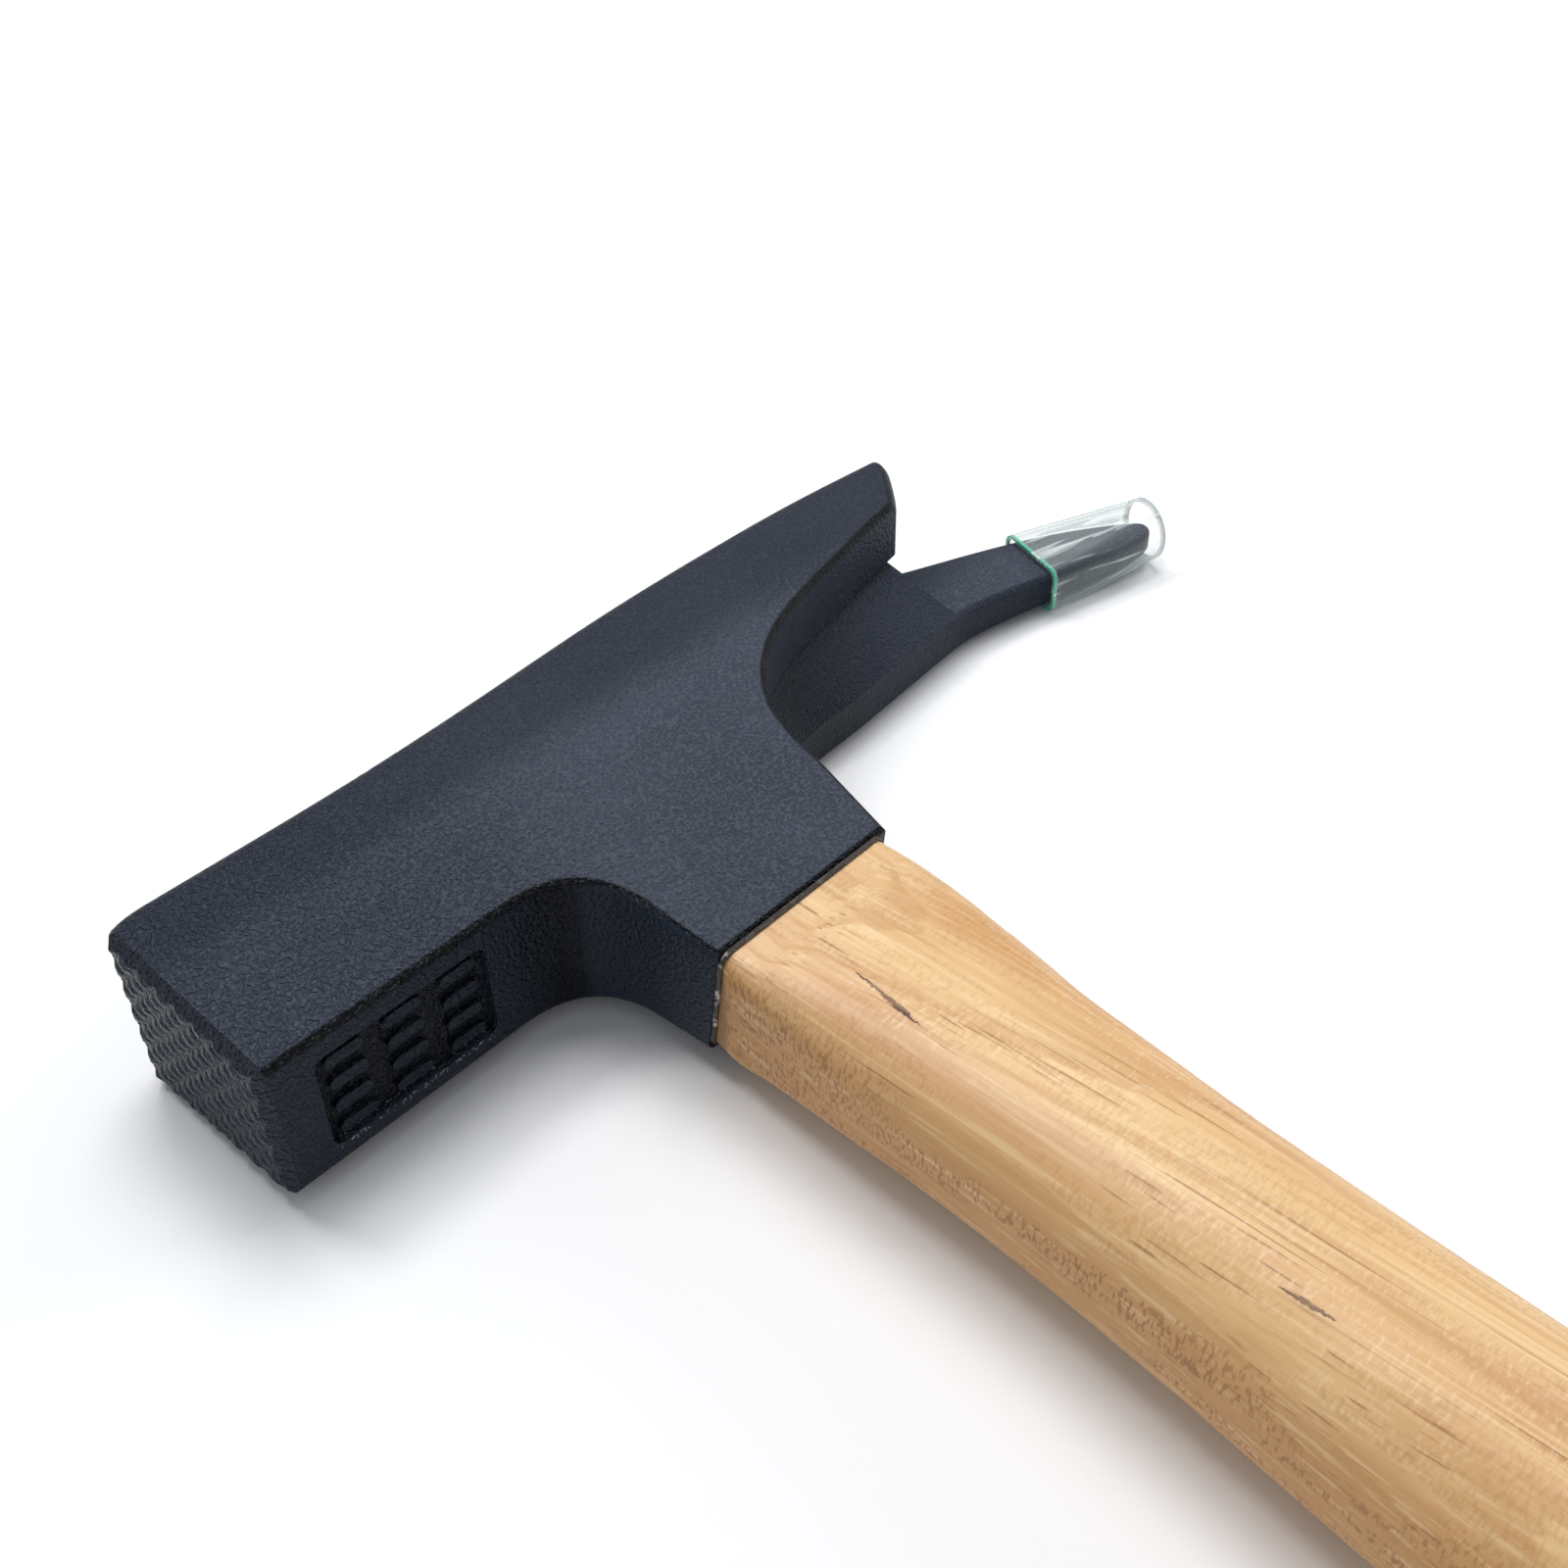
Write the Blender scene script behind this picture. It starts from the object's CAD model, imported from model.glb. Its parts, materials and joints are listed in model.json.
import json
import math

import bpy
from mathutils import Matrix, Vector


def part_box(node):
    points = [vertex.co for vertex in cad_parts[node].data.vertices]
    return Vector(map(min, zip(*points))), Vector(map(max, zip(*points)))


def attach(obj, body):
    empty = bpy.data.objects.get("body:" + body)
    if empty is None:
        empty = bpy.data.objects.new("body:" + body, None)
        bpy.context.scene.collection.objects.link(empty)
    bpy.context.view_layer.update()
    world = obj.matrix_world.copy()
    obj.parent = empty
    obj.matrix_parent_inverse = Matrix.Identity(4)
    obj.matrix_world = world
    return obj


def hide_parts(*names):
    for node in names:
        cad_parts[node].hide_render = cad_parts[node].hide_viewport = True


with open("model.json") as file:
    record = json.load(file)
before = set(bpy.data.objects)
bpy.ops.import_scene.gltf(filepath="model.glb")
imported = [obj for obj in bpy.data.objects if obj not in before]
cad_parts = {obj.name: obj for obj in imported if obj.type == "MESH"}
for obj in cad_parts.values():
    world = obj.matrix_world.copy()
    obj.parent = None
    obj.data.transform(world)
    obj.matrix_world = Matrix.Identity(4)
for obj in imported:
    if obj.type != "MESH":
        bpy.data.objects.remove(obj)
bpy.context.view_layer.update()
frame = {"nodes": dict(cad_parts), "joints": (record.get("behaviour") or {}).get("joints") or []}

# ---------------------------------------------------------------- places
# the frame is in metres, with its origin on the floor under the middle of the
# hammer; the eye's centre line, the striking axis and the middle of the head's
# thickness are read back from the boxes of the head and the wooden wedge
MM = 0.001
head_low, head_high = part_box("head")
wedge_low, wedge_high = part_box("wooden_wedge")
WEDGE_OFF_EYE = 0.3 * MM
AXIS_BELOW_TOP = 17.95 * MM
MOUTH_BELOW_AXIS = 35.0 * MM
EYE_X = (wedge_low.x + wedge_high.x) / 2 - WEDGE_OFF_EYE
MID_Z = (wedge_low.z + wedge_high.z) / 2
AXIS_Y = head_high.y - AXIS_BELOW_TOP
MOUTH_Y = AXIS_Y - MOUTH_BELOW_AXIS


def from_eye(x, y, z=0.0):
    """A place given in mm from the eye centre line, striking axis and floor."""
    return Vector((EYE_X + x * MM, AXIS_Y + y * MM, z * MM))


# recessed panel in the underside of the striking head
PANEL_X = EYE_X - 38.8 * MM
PANEL_HALF_LENGTH = 11.2 * MM
PANEL_HALF_HEIGHT = 6.7 * MM
UNDERSIDE_Y = AXIS_Y - 13.75 * MM
PANEL_FLOOR_Y = UNDERSIDE_Y + 0.9 * MM
CHIPPED_LINE_Z = MID_Z - PANEL_HALF_HEIGHT - 0.2 * MM

# the handle's growth rings, and the middles of the two splits in its top
RING_GAP = 1.25 * MM
HEART_X = EYE_X + 3.5 * MM
HEART_Z = MID_Z - 12.1 * MM
HEART_LEAN = 0.07
SPLIT_A = from_eye(-6.35, -52.6)
SPLIT_B = from_eye(-10.6, -102.7)

# the sleeve's axis, its turn about Z and its length from mouth to closed end
SLEEVE_AXIS = Vector(frame["joints"][0]["axis"])
SLEEVE_MOUTH = from_eye(87.2, -2.5)
SLEEVE_TURN = math.radians(19.5)
SLEEVE_LENGTH = 21.8 * MM


# ---------------------------------------------------------------- shader kit
class Sock:
    """Wraps a node output or a number, so that shader maths reads as Python."""

    def __init__(self, mat, value):
        self.mat = mat
        self.value = value

    def _maths(self, operation, *others):
        return self.mat.node("ShaderNodeMath", {"operation": operation}, self, *others)

    def __add__(self, other):
        return self._maths("ADD", other)

    __radd__ = __add__

    def __mul__(self, other):
        return self._maths("MULTIPLY", other)

    __rmul__ = __mul__

    def __sub__(self, other):
        return self._maths("SUBTRACT", other)

    def __rsub__(self, other):
        return self.mat.node("ShaderNodeMath", {"operation": "SUBTRACT"}, other, self)

    def __truediv__(self, other):
        return self._maths("DIVIDE", other)

    def __pow__(self, other):
        return self._maths("POWER", other)

    def __neg__(self):
        return self * -1.0

    def low(self, other):
        """The smaller of the two."""
        return self._maths("MINIMUM", other)

    def high(self, other):
        """The larger of the two."""
        return self._maths("MAXIMUM", other)

    def size(self):
        """The value without its sign."""
        return self._maths("ABSOLUTE")

    def floor(self):
        """The whole number below the value."""
        return self._maths("FLOOR")

    def step(self, start, end):
        """Smooth 0 to 1 as the value goes from start to end."""
        return self.mat.node(
            "ShaderNodeMapRange",
            {"interpolation_type": "SMOOTHSTEP"},
            self, start, end, 0.0, 1.0,
        )


class Finish:
    """One material: its nodes are made by calls, its shader is Principled."""

    # a Mix node's colour sockets, whose names it shares with its other types
    MIX_FIRST = 6
    MIX_SECOND = 7
    MIX_RESULT = 2

    def __init__(self, name):
        self.material = bpy.data.materials.new(name)
        self.material.use_nodes = True
        self.tree = self.material.node_tree
        self.tree.nodes.clear()
        self.shader = self.tree.nodes.new("ShaderNodeBsdfPrincipled")
        surface = self.tree.nodes.new("ShaderNodeOutputMaterial").inputs["Surface"]
        self.tree.links.new(self.shader.outputs[0], surface)

    def plug(self, socket, value):
        """Links a node's output to a socket, or sets the socket to a value."""
        if isinstance(value, Sock):
            value = value.value
        if isinstance(value, bpy.types.NodeSocket):
            self.tree.links.new(value, socket)
        else:
            socket.default_value = value

    def node(self, kind, settings=None, *values, out=0, **named):
        """Adds a node: settings first, then values or links by order or name."""
        made = self.tree.nodes.new(kind)
        for key, value in (settings or {}).items():
            setattr(made, key, value)
        for i, value in enumerate(values):
            self.plug(made.inputs[i], value)
        for key, value in named.items():
            self.plug(made.inputs[key.replace("_", " ")], value)
        return Sock(self, made.outputs[out])

    def place(self):
        """The place on the surface, as a vector."""
        return self.node("ShaderNodeTexCoord", out="Object")

    def outward(self):
        """The way that the surface faces, as a vector."""
        return self.node("ShaderNodeNewGeometry", out="Normal")

    def parts(self, vector):
        """The x, y and z of a vector."""
        made = self.tree.nodes.new("ShaderNodeSeparateXYZ")
        self.plug(made.inputs[0], vector)
        return [Sock(self, output) for output in made.outputs]

    def turned(self, where, turn=(0, 0, 0), scale=(1, 1, 1)):
        """A place turned and scaled, so that a pattern on it is too."""
        return self.node(
            "ShaderNodeMapping", Vector=where, Rotation=Vector(turn), Scale=Vector(scale),
        )

    def noise(self, where, scale, detail=2.0, rough=0.5, distort=0.0):
        """Noise from 0 to 1 with so many lumps to the metre."""
        return self.node(
            "ShaderNodeTexNoise",
            Vector=where, Scale=scale, Detail=detail, Roughness=rough, Distortion=distort,
        )

    def grain(self, where, stretch, scale, detail, rough, distort=0.0):
        """Noise along the handle, drawn out more the smaller stretch is."""
        drawn_out = self.turned(where, scale=(1.0, stretch, 1.0))
        return self.noise(drawn_out, scale, detail, rough, distort)

    def blend(self, share, first, second):
        """From the first colour to the second as share goes from 0 to 1."""
        made = self.tree.nodes.new("ShaderNodeMix")
        made.data_type = "RGBA"
        self.plug(made.inputs["Factor"], share)
        for index, colour in ((self.MIX_FIRST, first), (self.MIX_SECOND, second)):
            self.plug(made.inputs[index], colour if isinstance(colour, Sock) else (*colour, 1.0))
        return Sock(self, made.outputs[self.MIX_RESULT])

    def bump(self, height, strength, depth, under=None):
        """A normal for a height, laid over the normal under it if there is one."""
        named = {"Strength": strength, "Distance": depth, "Height": height}
        if under is not None:
            named["Normal"] = under
        return self.node("ShaderNodeBump", **named)

    def set(self, **named):
        """Sets or links the shader's own sockets."""
        for key, value in named.items():
            socket = self.shader.inputs[key.replace("_", " ")]
            self.plug(socket, (*value, 1.0) if isinstance(value, tuple) else value)


def dress(obj, finish):
    """Gives a piece one finish all over."""
    obj.data.materials.clear()
    obj.data.materials.append(finish.material)


# ---------------------------------------------------------------- finishes
def cheek_paint(f, where, y, to_face, grit):
    """The cheeks lie in the light, and darken towards the top and the face."""
    broad = f.noise(where, 45.0, 3.0, 0.5)
    tone = f.blend(broad.step(0.3, 0.75), (0.031, 0.039, 0.060), (0.045, 0.055, 0.081))
    tone = f.blend(grit.step(0.48, 0.58) * 0.5, tone, (0.092, 0.106, 0.134))
    rim = y.step(AXIS_Y - 1 * MM, AXIS_Y + 8 * MM).high(to_face * 0.45)
    return f.blend(rim * 0.65, tone, (0.010, 0.015, 0.027))


def side_paint(f, x, on_side, front, in_claw, scale_lines):
    """The sides lie in the shade, darkest in the neck, and the edges are dark."""
    flank = f.blend(scale_lines.step(0.35, 0.7), (0.0005, 0.0015, 0.004), (0.003, 0.006, 0.012))
    under_face = 1.0 - x.step(EYE_X - 26 * MM, EYE_X - 18 * MM)
    at_claw = x.step(EYE_X + 17 * MM, EYE_X + 30 * MM)
    flank = f.blend(under_face.high(at_claw) * 0.7, flank, (0.016, 0.024, 0.043))
    edge = f.blend(in_claw, (0.002, 0.003, 0.005), (0.026, 0.034, 0.054))
    edge = f.blend(front, edge, (0.016, 0.023, 0.038))
    return f.blend(on_side, edge, flank)


def panel_paint(f, tone, place, side, grit):
    """Darkens the panel's floor, and chips the paint along its low edge."""
    x, y, z = place
    off_panel = (x - PANEL_X).size()
    off_middle = (z - MID_Z).size()
    before, beyond = 0.2 * MM, 0.1 * MM
    in_length = 1.0 - off_panel.step(PANEL_HALF_LENGTH - before, PANEL_HALF_LENGTH + beyond)
    in_height = 1.0 - off_middle.step(PANEL_HALF_HEIGHT - before, PANEL_HALF_HEIGHT + beyond)
    from_mouth = y.step(UNDERSIDE_Y + 0.1 * MM, UNDERSIDE_Y + 0.65 * MM)
    to_floor = 1.0 - y.step(PANEL_FLOOR_Y + 0.45 * MM, PANEL_FLOOR_Y + 0.85 * MM)
    sunk = in_length * in_height * (from_mouth * to_floor)
    tone = f.blend(sunk * 0.85, tone, (0.001, 0.002, 0.005))
    low_edge = 1.0 - (z - CHIPPED_LINE_Z).size().step(0.25 * MM, 0.7 * MM)
    along_panel = 1.0 - off_panel.step(9.5 * MM, 11.5 * MM)
    chips = grit.step(0.58, 0.64) * low_edge * along_panel * side
    return f.blend(chips * 0.7, tone, (0.30, 0.33, 0.36))


def powder_coat():
    """Black powder coat: orange peel, coarser at the face, over dark edges."""
    f = Finish("head_powder_coat")
    where = f.place()
    x, y, z = f.parts(where)
    nx, _, nz = f.parts(f.outward())
    cheek = nz.size().step(0.88, 0.985)
    side = 1.0 - nz.size().step(0.12, 0.3)
    front = (-nx).step(0.55, 0.8)
    on_side = side * (1.0 - front)
    to_face = (-x).step(-(EYE_X + 10 * MM), -(head_low.x + 10 * MM))
    in_claw = x.step(EYE_X + 17 * MM, EYE_X + 24 * MM) * (1.0 - z.step(13.2 * MM, 14.0 * MM))
    armpit = in_claw * (1.0 - x.step(EYE_X + 28 * MM, EYE_X + 64 * MM))

    # orange peel near the face, finer grit elsewhere, scale lines on the sides
    worms = f.noise(where, 1700.0, 1.0, 0.5, 0.25)
    grit = f.noise(where, 2300.0, 1.0, 0.6)
    scale_lines = f.noise(f.turned(where, scale=(1.0, 1.0, 0.07)), 1500.0, 2.0, 0.6)
    peel = worms.step(0.3, 0.7) * (0.15 + to_face * 0.85) + grit * (1.2 - to_face * 0.7)
    normal = f.bump(peel, 1.0, 0.0003)
    normal = f.bump(scale_lines * on_side, 0.35, 0.0002, under=normal)

    lit = cheek_paint(f, where, y, to_face, grit)
    tone = f.blend(cheek, side_paint(f, x, on_side, front, in_claw, scale_lines), lit)
    tone = f.blend(armpit * 0.95, tone, (0.003, 0.006, 0.012))
    tone = panel_paint(f, tone, (x, y, z), side, grit)
    f.set(
        Base_Color=tone, Roughness=0.32 + cheek * 0.10 + grit * 0.12, Normal=normal,
        IOR=1.45, Specular_IOR_Level=0.2,
    )
    return f


def split(across, along, centre, half_length, half_width, slope):
    """Share of a dark tapering split that runs with the grain."""
    from_middle = along - centre.y
    taper = 1.0 - (from_middle / half_length) ** 2.0
    off_line = (across - centre.x - from_middle * slope).size()
    inside = 1.0 - (off_line / (taper.high(0.02) * half_width)).step(0.35, 1.0)
    return inside * taper.step(0.0, 0.25)


def late_wood(f, where, place, ripple):
    """Share of late wood in rings round a heart that leans under the grip."""
    x, y, z = place
    wander = f.grain(where, 0.25, 70.0, 3.0, 0.55) - 0.5
    across = x - (y - MOUTH_Y) * HEART_LEAN - HEART_X
    up = z - HEART_Z
    radius = (across ** 2.0 + up ** 2.0) ** 0.5 + wander * (1.9 * MM) + ripple * (0.35 * MM)
    turns = radius / RING_GAP
    ring = turns - turns.floor()
    return ring.step(0.45, 0.93) - ring.step(0.95, 1.0)


def wood_ground(f, where, y, nz):
    """Honey wood with a pink-brown blush, darker flanks, paler at the collar."""
    bands = f.grain(where, 0.045, 130.0, 3.0, 0.55, 0.2)
    broad = f.grain(where, 0.12, 48.0, 2.0, 0.5, 0.3)
    tone = f.blend(bands.step(0.3, 0.7), (0.66, 0.365, 0.15), (0.81, 0.54, 0.265))
    blush = broad.step(0.42, 0.58) * nz.step(0.2, 0.9)
    tone = f.blend(blush * 0.75, tone, (0.65, 0.35, 0.205))
    flank = 1.0 - nz.size().step(0.15, 0.85)
    tone = f.blend(flank * 0.8, tone, (0.54, 0.26, 0.075))
    cream = (y - MOUTH_Y).step(-16 * MM, -5 * MM) * nz.step(0.35, 0.85)
    return f.blend(cream * 0.5, tone, (0.84, 0.60, 0.33))


def lacquered_wood():
    """Honey-coloured hardwood under thin lacquer: rings, fibres, ray flecks."""
    f = Finish("handle_lacquered_wood")
    where = f.place()
    x, y, z = f.parts(where)
    _, _, nz = f.parts(f.outward())
    ripple = f.grain(where, 0.12, 420.0, 2.0, 0.6) - 0.5
    fibres = f.grain(where, 0.022, 1500.0, 2.0, 0.6)
    pores = f.grain(where, 0.014, 2300.0, 1.0, 0.5)
    rows = f.grain(where, 0.12, 300.0, 2.0, 0.5)
    patches = f.grain(where, 0.35, 150.0, 2.0, 0.5)
    ticks = f.noise(f.turned(where, scale=(0.4, 1.0, 0.4)), 2500.0, 1.0, 0.5)

    # rings, fibres and pores run with the grain; flecks and shimmer across it
    tone = wood_ground(f, where, y, nz)
    tone = f.blend(late_wood(f, where, (x, y, z), ripple) * 0.42, tone, (0.56, 0.29, 0.11))
    tone = f.blend(fibres.step(0.5, 0.72) * 0.42, tone, (0.56, 0.30, 0.12))
    tone = f.blend(fibres.step(0.48, 0.3) * 0.3, tone, (1.0, 0.80, 0.50))
    open_pores = pores.step(0.6, 0.72) * patches.step(0.42, 0.58)
    tone = f.blend(open_pores * 0.75, tone, (0.36, 0.17, 0.07))
    fleck_rows = rows.step(0.44, 0.55) * (0.22 + (1.0 - nz.size().step(0.1, 0.8)) * 0.78)
    tone = f.blend(ticks.step(0.5, 0.62) * fleck_rows * 0.75, tone, (0.34, 0.15, 0.05))
    shimmer = ticks.step(0.42, 0.3) * nz.step(0.3, 0.9) * patches.step(0.45, 0.6)
    tone = f.blend(shimmer * 0.2, tone, (1.0, 0.84, 0.60))

    # two dark splits in the top, and a scorched line at the mouth
    wobble = (fibres - 0.5) * (0.7 * MM) + (ticks - 0.5) * (0.5 * MM) + ripple * (0.9 * MM)
    split_a = split(x + wobble, y, SPLIT_A, 5.4 * MM, 0.42 * MM, 0.16)
    split_b = split(x + wobble, y, SPLIT_B, 3.0 * MM, 0.38 * MM, -0.03)
    broken = 0.7 + fibres.step(0.35, 0.6) * 0.3
    splits = split_a.high(split_b) * nz.step(0.3, 0.6) * broken
    tone = f.blend(splits, tone, (0.09, 0.030, 0.018))
    scorch = (y - MOUTH_Y + ripple * (0.8 * MM)).step(-0.9 * MM, 0.25 * MM)
    tone = f.blend(scorch * 0.55, tone, (0.16, 0.09, 0.05))

    normal = f.bump(fibres * 0.6 + ticks * 0.5 + patches * 0.6, 0.3, 0.00018)
    f.set(
        Base_Color=tone, Roughness=0.30 + ticks * 0.35, Normal=normal,
        IOR=1.45, Specular_IOR_Level=0.4, Coat_Weight=0.12, Coat_Roughness=0.25,
    )
    return f


def clear_vinyl():
    """Thin clear sleeve: green at its cut rim, pale and ringed at its closed end."""
    f = Finish("sleeve_clear_vinyl")
    where = f.place()
    x, y, _ = f.parts(where)
    along = (x - SLEEVE_MOUTH.x) * SLEEVE_AXIS.x + (y - SLEEVE_MOUTH.y) * SLEEVE_AXIS.y
    rim = 1.0 - along.step(0.25 * MM, 0.8 * MM)
    end = along.step(18.0 * MM, 21.0 * MM)
    tip_ring = along.step(SLEEVE_LENGTH - 0.9 * MM, SLEEVE_LENGTH - 0.5 * MM)
    facing = f.node("ShaderNodeLayerWeight", Blend=0.5, out="Facing") ** 2.3

    # folds run along the sleeve, and the sharpest catch the light as streaks
    straight = f.turned(where, turn=(0, 0, SLEEVE_TURN))
    folds = f.noise(f.turned(straight, scale=(0.07, 1.0, 1.0)), 620.0, 1.0, 0.5, 0.25)
    streaks = folds.step(0.62, 0.67)

    tone = f.blend(facing, (0.80, 0.90, 0.87), (0.22, 0.40, 0.33))
    tone = f.blend(rim, tone, (0.10, 0.52, 0.33))
    tone = f.blend(end * 0.7, tone, (0.96, 0.99, 0.97))
    tone = f.blend(tip_ring, tone, (0.40, 0.47, 0.46))
    tone = f.blend(streaks * 0.6, tone, (0.97, 1.0, 0.99))
    alpha = (0.015 + facing * 0.75 + streaks * 0.35 + tip_ring * 0.4).low(1.0)
    f.set(
        Base_Color=tone, Roughness=0.1, Alpha=alpha.high(rim * 0.92),
        Normal=f.bump(folds, 0.5, 0.0008), IOR=1.5, Specular_IOR_Level=0.7,
    )
    return f


def bare_wood():
    """Raw wood of the wedge."""
    f = Finish("wedge_bare_wood")
    grain = f.grain(f.place(), 0.1, 500.0, 3.0, 0.6)
    tone = f.blend(grain, (0.45, 0.29, 0.15), (0.62, 0.43, 0.25))
    f.set(Base_Color=tone, Roughness=0.7, Normal=f.bump(grain, 0.3, 0.0002))
    return f


def drawn_metal(name, dull, bright, rough):
    """Bare metal with fine lines round the piece."""
    f = Finish(name)
    grain = f.grain(f.place(), 8.0, 900.0, 2.0, 0.6)
    f.set(
        Base_Color=f.blend(grain, dull, bright), Metallic=1.0, Roughness=rough + grain * 0.15,
        Normal=f.bump(grain, 0.15, 0.0001),
    )
    return f


def dried_glue():
    """Dark line of glue, with a pale crust at the corner nearest the face."""
    f = Finish("glue_dried")
    where = f.place()
    x, _, _ = f.parts(where)
    lumps = f.noise(where, 700.0, 3.0, 0.6)
    at_corner = 1.0 - x.step(EYE_X - 12.4 * MM, EYE_X - 11.2 * MM)
    crust = lumps.step(0.5, 0.62) * (0.08 + at_corner * 0.7)
    tone = f.blend(crust, (0.035, 0.022, 0.014), (0.62, 0.58, 0.50))
    f.set(Base_Color=tone, Roughness=0.5, Normal=f.bump(lumps, 0.8, 0.0004))
    return f


# ---------------------------------------------------------------- pieces
nodes = frame["nodes"]
MERGE_WITHIN = 1e-6


def refined(node, body, name, smooth_angle):
    """A merged, smooth-shaded copy of a CAD node that stands for it."""
    bpy.ops.object.select_all(action="DESELECT")
    source = nodes[node]
    piece = source.copy()
    piece.data = source.data.copy()
    piece.name = name
    for key in list(piece.keys()):
        if key.startswith("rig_"):
            del piece[key]
    piece.parent = None
    bpy.context.scene.collection.objects.link(piece)
    piece.matrix_world = Matrix.Identity(4)
    bpy.context.view_layer.objects.active = piece
    piece.select_set(True)
    bpy.ops.mesh.customdata_custom_splitnormals_clear()
    bpy.ops.object.mode_set(mode="EDIT")
    bpy.ops.mesh.select_all(action="SELECT")
    bpy.ops.mesh.remove_doubles(threshold=MERGE_WITHIN)
    bpy.ops.object.mode_set(mode="OBJECT")
    bpy.ops.object.shade_smooth_by_angle(angle=math.radians(smooth_angle))
    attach(piece, body)
    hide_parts(node)
    return piece


head = refined("head", "hammer", "hammer_head", 25)
grip = refined("handle", "hammer", "wooden_handle", 25)
sleeve = refined("tip_sleeve", "sleeve", "spike_sleeve", 40)
bead = refined("glue_bead", "hammer", "mouth_glue", 40)
ring_steel = drawn_metal("ring_drawn_steel", (0.45, 0.45, 0.46), (0.62, 0.62, 0.64), 0.25)
nickel = drawn_metal("magnet_nickel", (0.6, 0.6, 0.6), (0.72, 0.71, 0.69), 0.18)
dress(head, powder_coat())
dress(grip, lacquered_wood())
dress(sleeve, clear_vinyl())
dress(bead, dried_glue())
dress(nodes["wooden_wedge"], bare_wood())
dress(nodes["ring_wedge"], ring_steel)
dress(nodes["nail_magnet"], nickel)

# ---------------------------------------------------------------- setting
bpy.ops.object.select_all(action="DESELECT")
bpy.ops.mesh.primitive_plane_add(size=6.0, location=(0, 0, 0))
floor = bpy.context.object
floor.name = "pale_floor"
paper = Finish("floor_white")
paper.set(Base_Color=(0.95, 0.953, 0.965), Roughness=0.6, Specular_IOR_Level=0.2)
dress(floor, paper)

scene = bpy.context.scene
world = bpy.data.worlds.new("studio")
scene.world = world
world.use_nodes = True
backdrop = world.node_tree.nodes["Background"]
backdrop.inputs["Color"].default_value = (0.93, 0.96, 1.0, 1.0)
backdrop.inputs["Strength"].default_value = 0.37


def soft_box(name, place, aim, width, height, power):
    """A rectangular lamp at a place, in metres, that points at its aim."""
    light = bpy.data.lights.new(name, "AREA")
    light.shape = "RECTANGLE"
    light.size = width
    light.size_y = height
    light.energy = power
    lamp = bpy.data.objects.new(name, light)
    scene.collection.objects.link(lamp)
    lamp.location = place
    towards = Vector(aim) - Vector(place)
    lamp.rotation_euler = towards.to_track_quat("-Z", "Y").to_euler()


soft_box(
    "ceiling", place=(0.22, 0.38, 0.95), aim=(-0.02, 0.05, 0),
    width=0.55, height=0.55, power=6.4,
)
soft_box(
    "window_back", place=(-0.14, 0.62, 0.85), aim=(-0.03, -0.02, 0),
    width=0.2, height=0.2, power=2.0,
)
soft_box(
    "window_right", place=(0.85, -0.15, 0.45), aim=(0, 0.05, 0),
    width=0.5, height=0.4, power=1.6,
)

# the camera looks down past the striking face, from the handle's side
AZIMUTH = math.radians(46.58)
PITCH = math.radians(40.44)
ROLL = math.radians(-1.28)
CAMERA_PLACE = from_eye(-102.49, -129.68, 154.76)
level = Vector((math.cos(AZIMUTH), -math.sin(AZIMUTH), 0.0))
forward = Vector((math.sin(AZIMUTH), math.cos(AZIMUTH), 0.0))
ahead = forward * math.cos(PITCH) - Vector((0.0, 0.0, math.sin(PITCH)))
above = level.cross(ahead)
right = math.cos(ROLL) * level + math.sin(ROLL) * above
up = -math.sin(ROLL) * level + math.cos(ROLL) * above
camera_data = bpy.data.cameras.new("bench_camera")
camera_data.lens = 40.57
camera_data.sensor_width = 36.0
camera_data.clip_start = 0.01
camera = bpy.data.objects.new("bench_camera", camera_data)
scene.collection.objects.link(camera)
scene.camera = camera
turned = Matrix((right, up, -ahead)).transposed().to_4x4()
camera.matrix_world = Matrix.Translation(CAMERA_PLACE) @ turned

scene.view_settings.view_transform = "Standard"
scene.view_settings.look = "None"
